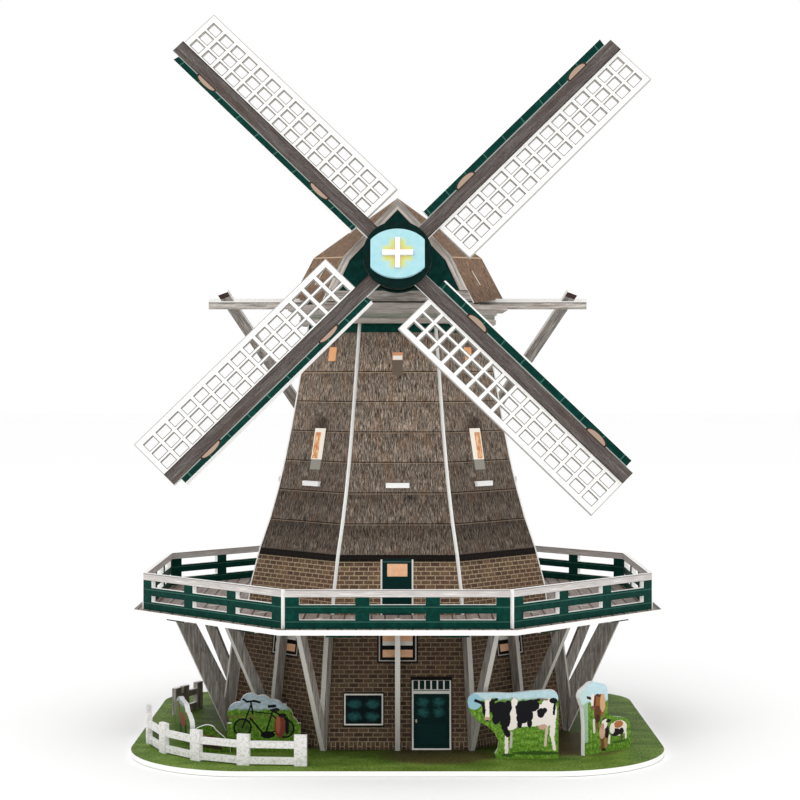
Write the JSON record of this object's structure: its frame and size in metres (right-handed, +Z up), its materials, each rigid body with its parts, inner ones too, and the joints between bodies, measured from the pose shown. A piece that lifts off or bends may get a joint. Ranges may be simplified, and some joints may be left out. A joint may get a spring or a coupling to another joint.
{
  "type": "windmill puzzle model",
  "caption": "Three-dimensional jigsaw of a smock windmill: printed foam board pieces slot together into a tower, deck, cap and garden, and its lattice sails turn.",
  "frame": {"origin": "on the tower axis, on the underside of the base", "axes": "+Z up along the tower, the door and the sails face -Y, +X is to the right seen from the front"},
  "size_m": [0.2594, 0.2617, 0.3584],
  "materials": {
    "printed_grass": "matte",
    "printed_brick": "matte",
    "printed_thatch": "matte",
    "printed_railing": "matte",
    "printed_planks": "matte",
    "white_board": "matte",
    "printed_timber": "matte",
    "printed_curb": "matte",
    "printed_green": "matte",
    "printed_gable": "matte",
    "printed_roof": "matte",
    "printed_blue": "matte",
    "printed_lattice": "matte",
    "printed_fence": "matte",
    "printed_figures": "matte",
    "printed_stock": "matte"
  },
  "bodies": {
    "mill": {"base_plate": "printed_grass", "lower_wall_1": "printed_brick", "lower_wall_2": "printed_brick", "lower_wall_3": "printed_brick", "lower_wall_4": "printed_brick", "lower_wall_5": "printed_brick", "lower_wall_6": "printed_brick", "lower_wall_7": "printed_brick", "lower_wall_8": "printed_brick", "deck_plate": "printed_planks", "upper_wall_1": "printed_thatch", "upper_wall_2": "printed_thatch", "upper_wall_3": "printed_thatch", "upper_wall_4": "printed_thatch", "upper_wall_5": "printed_thatch", "upper_wall_6": "printed_thatch", "upper_wall_7": "printed_thatch", "upper_wall_8": "printed_thatch", "tower_rib": "white_board", "railing_1": "printed_railing", "railing_2": "printed_railing", "railing_3": "printed_railing", "railing_4": "printed_railing", "railing_5": "printed_railing", "railing_6": "printed_railing", "railing_7": "printed_railing", "railing_8": "printed_railing", "corner_struts": "printed_timber", "wall_struts": "printed_timber", "curb_plate_lower": "printed_curb", "curb_plate_middle": "printed_green", "curb_plate_upper": "printed_curb", "cap_floor": "printed_curb", "front_gable": "printed_gable", "middle_frame": "printed_timber", "rear_gable": "printed_gable", "roof_front": "printed_roof", "roof_rear": "printed_roof", "tail_beam": "printed_timber", "tail_braces": "printed_timber", "tail_pole": "printed_timber", "front_fence": "printed_fence", "rear_fence": "printed_timber", "bicycle_board": "printed_figures", "cow_board": "printed_figures", "calf_board": "printed_figures", "horse_board": "printed_figures", "lamb_board": "printed_figures"},
    "sails": {"lattices": "printed_lattice", "stocks": "printed_stock", "hub_rear_ring": "printed_green", "hub_front_ring": "printed_green", "hub_inner_ring": "printed_green", "hub_plate": "printed_blue", "shaft_plate_upright": "white_board", "shaft_plate_level": "white_board", "shaft_collar": "printed_green", "shaft_stop": "printed_timber"}
  },
  "joints": [
    {"name": "sails_spin", "type": "hinge", "parent": "mill", "child": "sails", "pos_m": [0, -0.0728, 0.2364], "axis": [0, -0.9806, 0.1959], "continuous": true}
  ]
}
